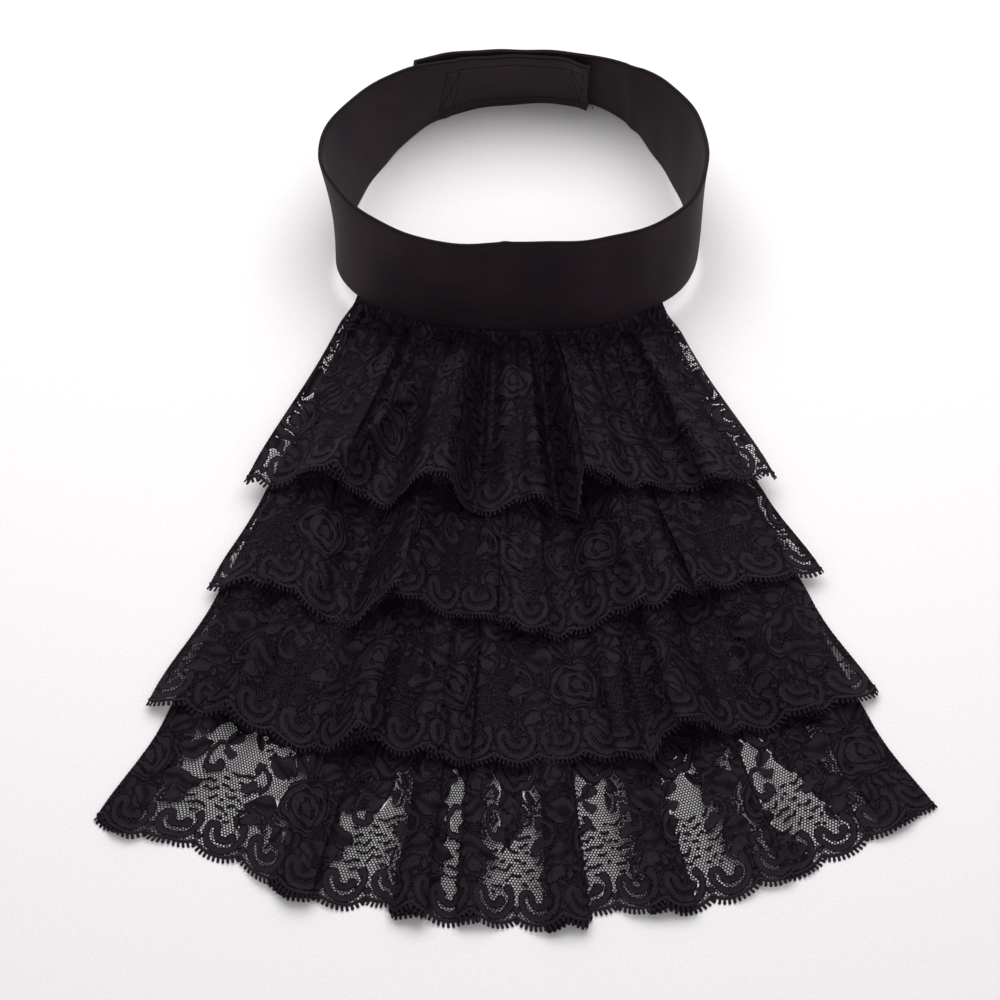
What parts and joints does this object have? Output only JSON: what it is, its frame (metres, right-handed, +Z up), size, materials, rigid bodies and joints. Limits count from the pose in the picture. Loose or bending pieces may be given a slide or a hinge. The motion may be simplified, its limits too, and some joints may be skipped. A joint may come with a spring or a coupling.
{
  "type": "jabot",
  "caption": "Black lace jabot: gathered ruffles of scalloped floral lace hang from a plain cloth neckband that closes behind the neck.",
  "frame": {"origin": "centre of the bounding box at the surface that the jabot lies on", "axes": "+Z up from that surface, +Y from the lowest hem toward the back of the neckband, +X to the right seen from the hem"},
  "size_m": [0.2807, 0.3995, 0.0493],
  "materials": {
    "neckband_cloth": "matt woven cotton, near black and slightly warm",
    "fastener_tape": "black hook and loop tape",
    "lace": "black floral machine lace with a soft sheen"
  },
  "bodies": {
    "root": {"neckband": "neckband_cloth", "hook_loop_fastener": "fastener_tape", "lace_tier_1": "lace", "lace_tier_2": "lace", "lace_tier_3": "lace", "lace_tier_4": "lace"}
  },
  "joints": []
}
